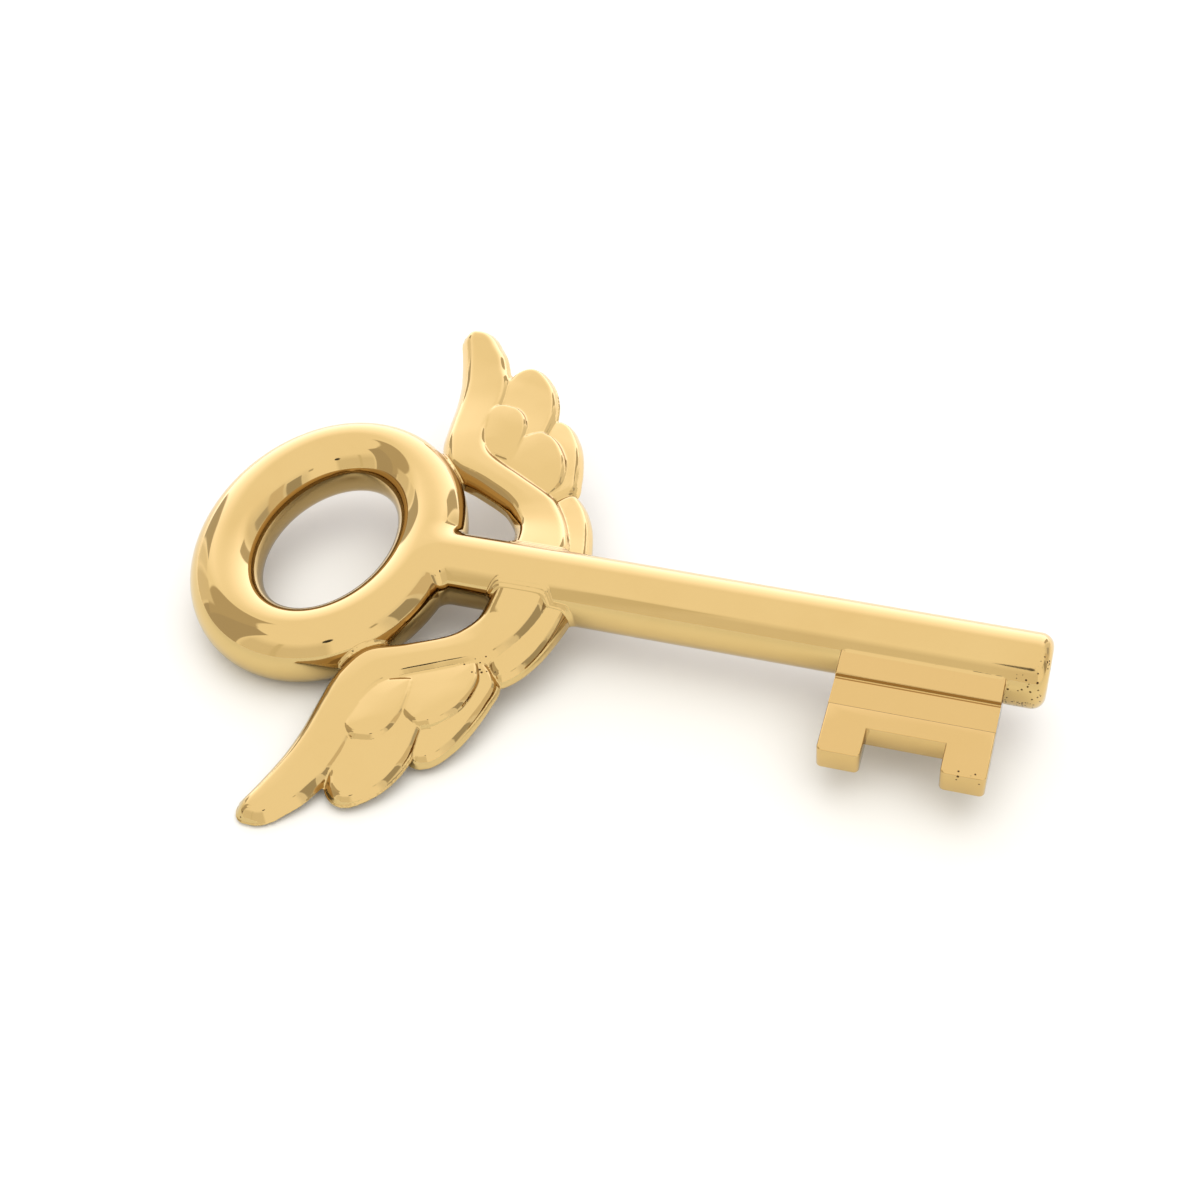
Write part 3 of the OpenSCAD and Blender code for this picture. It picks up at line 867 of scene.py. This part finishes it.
# studio: an even dome with soft lights and dark gaps where bow and shank mirror them
studioSettings = {
    "dome": (0.97, 0.965, 0.95),
    "azimuthWrap": (120, -240),  # degrees: no panel crosses these ends
    # left, right, low, high, slope of the low edge, softness, fade at the top, and the colour
    "panels": [
        (-215, -128, -20, 52, 0, 6, 16, (0.76, 0.745, 0.70)),
        (-66, 34, -20, 50, 0, 16, 50, (1.72, 1.80, 2.25)),
        (28, 110, -20, 46, 0, 8, 20, (0.80, 0.80, 0.80)),
        (-129, -89, 1, 61, 0, 1.2, 1.2, (0.46, 0.43, 0.385)),
        (-98, -50, 8, 62, 0.95, 1.5, 1.5, (0.52, 0.485, 0.42)),
        (-90, -70, -3, 30, 0, 3, 3, (0.76, 0.74, 0.70)),
        (-62, -50, 1, 30, 0, 1, 1, (0.50, 0.49, 0.47)),
        (-70, -62, 1, 28, 0, 2, 2, (0.85, 0.84, 0.82)),
        (18, 29, -1, 28, 0, 1, 1, (0.55, 0.53, 0.50)),
        (44, 65, 6, 24, 0, 1, 1, (0.48, 0.48, 0.49)),
        (60, 78, 6, 40, 0, 1.5, 1.5, (0.70, 0.66, 0.60)),
        (80, 98, 2, 35, 0, 1, 1, (0.40, 0.39, 0.37)),
        (105, 113, 32, 39, 0, 2, 2, (0.50, 0.48, 0.42)),
        (-167, -159, 8, 48, 0, 2, 2, (0.70, 0.68, 0.61))],
    "floorLight": (0.75, 1.35),  # on the floor: from the sides, and added from overhead
}
panelLabels = ("Azimuth", "Elevation", "Left", "Right", "Low", "High", "Slope", "Softness", "Fade")


def panelGroup():  # 1 inside a window of azimuth and elevation
    group, given, result = newGroup("studioPanel", dict.fromkeys(panelLabels, 0), ["Inside"])
    nodes = group.nodes
    azimuth, elevation, left, right, low, high, slope, softness, fade = (
        given.outputs[label] for label in panelLabels)

    def side(larger, smaller, width):
        gap = maths(nodes, "SUBTRACT", larger, smaller)
        return maths(nodes, "DIVIDE", gap, width, clamp=True)

    lowEdge = maths(nodes, "MULTIPLY_ADD", maths(nodes, "SUBTRACT", azimuth, left), slope, low)
    across = maths(nodes, "MULTIPLY", side(azimuth, left, softness), side(right, azimuth, softness))
    upward = maths(nodes, "MULTIPLY", side(elevation, lowEdge, softness),
                   side(high, elevation, fade))
    feed(result.inputs["Inside"], maths(nodes, "MULTIPLY", across, upward))
    return group


def studioWorld():
    s = studioSettings
    world = bpy.data.worlds.new("softStudio")
    bpy.context.scene.world = world
    world.use_nodes = True
    nodes = world.node_tree.nodes
    direction = newNode(nodes, "ShaderNodeSeparateXYZ", {
        "Vector": nodes.new("ShaderNodeTexCoord").outputs["Generated"]})
    x, y, z = direction.outputs
    azimuth = maths(nodes, "DEGREES", maths(nodes, "ARCTAN2", x, y))
    azimuth = maths(nodes, "WRAP", azimuth, *s["azimuthWrap"])
    elevation = maths(nodes, "DEGREES", maths(nodes, "ARCSINE", z))
    panel = panelGroup()
    light = s["dome"]
    for *window, colour in s["panels"]:
        inputs = dict(zip(panelLabels, (azimuth, elevation, *window)))
        light = colourMix(nodes, placed(nodes, panel, inputs).outputs["Inside"], light, colour)
    feed(nodes["Background"].inputs["Color"], light)
    onFloor = nodes.new("ShaderNodeLightPath").outputs["Is Diffuse Ray"]
    level, overhead = s["floorLight"]
    extra = maths(nodes, "MULTIPLY_ADD", maths(nodes, "POWER", z, 2), overhead, level - 1)
    feed(nodes["Background"].inputs["Strength"],
         maths(nodes, "MULTIPLY_ADD", onFloor, extra, 1))


studioWorld()

floorSettings = {
    "size": 6,
    "normal": (0.021, 0.154, 0.988),  # the photo's key is propped up a little on its far side
    "distance": 23.5 * mm,  # from the middle of the bow
    "colour": (0.94, 0.92, 0.875),
    "roughness": 0.6,
    "specular": 0.15,
    # painted light and shade on the floor as the gold mirrors it: dimmer on the camera's side,
    # brighter beyond, and a painted shadow where the key keeps light off
    "paintedShadeNear": (0.67, 0.70, 0.68),
    "paintedLightFar": (0.95, 0.96, 0.97),
    "mirroredReach": (-150 * mm, 250 * mm),
    "mirroredShade": (0.24, 0.215, 0.18),
    "shadedSpots": [((bowX, 0), 66 * mm), ((bowX + 62 * mm, 26 * mm), 40 * mm),
                    ((bowX + 62 * mm, -26 * mm), 40 * mm)],
}


def stageFloor():
    s = floorSettings
    normal = Vector(s["normal"]).normalized()
    deselectAll()
    bpy.ops.mesh.primitive_plane_add(size=s["size"])
    floor = bpy.context.object
    floor.name = "floor"
    drop = Matrix.Translation(Vector((bowX, 0, axisZ)) - s["distance"] * normal)
    tilt = Vector((0, 0, 1)).rotation_difference(normal).to_matrix().to_4x4()
    floor.data.transform(drop @ tilt)
    material, nodes, shader = newMaterial("paleFloor", {
        "Roughness": s["roughness"], "Specular IOR Level": s["specular"]})
    position = nodes.new("ShaderNodeTexCoord").outputs["Object"]
    away = newNode(nodes, "ShaderNodeSeparateXYZ", {"Vector": position}).outputs["Y"]
    # painted light and shade: mirror rays see the floor dimmer on the camera's side, brighter
    # beyond, and darker in painted shadow spots near the key
    mirrored = colourMix(nodes, mapped(nodes, away, s["mirroredReach"]),
                         s["paintedShadeNear"], s["paintedLightFar"])
    spots = [((x, y, axisZ - s["distance"]), radius) for (x, y), radius in s["shadedSpots"]]
    mirrored = colourMix(nodes, nearSpots(nodes, position, spots), mirrored, s["mirroredShade"])
    inMirror = nodes.new("ShaderNodeLightPath").outputs["Is Glossy Ray"]
    feed(shader.inputs["Base Color"], colourMix(nodes, inMirror, s["colour"], mirrored))
    floor.data.materials.append(material)


stageFloor()


def cameraFront():  # the dark lens front that the bow and the shank's end mirror
    s = cameraSettings
    deselectAll()
    bpy.ops.mesh.primitive_circle_add(vertices=48, radius=s["frontRadius"], fill_type="NGON")
    front = bpy.context.object
    front.name = "cameraFront"
    front.data.transform(camera.matrix_world @ Matrix.Translation((0, 0, s["frontBehind"])))
    front.data.materials.append(newMaterial("blackLens", {"Base Color": s["frontColour"]})[0])
    front.visible_camera = False
    front.visible_shadow = False


cameraFront()
bpy.context.scene.view_settings.view_transform = "Standard"
bpy.context.scene.view_settings.look = "None"

print("studio ready")
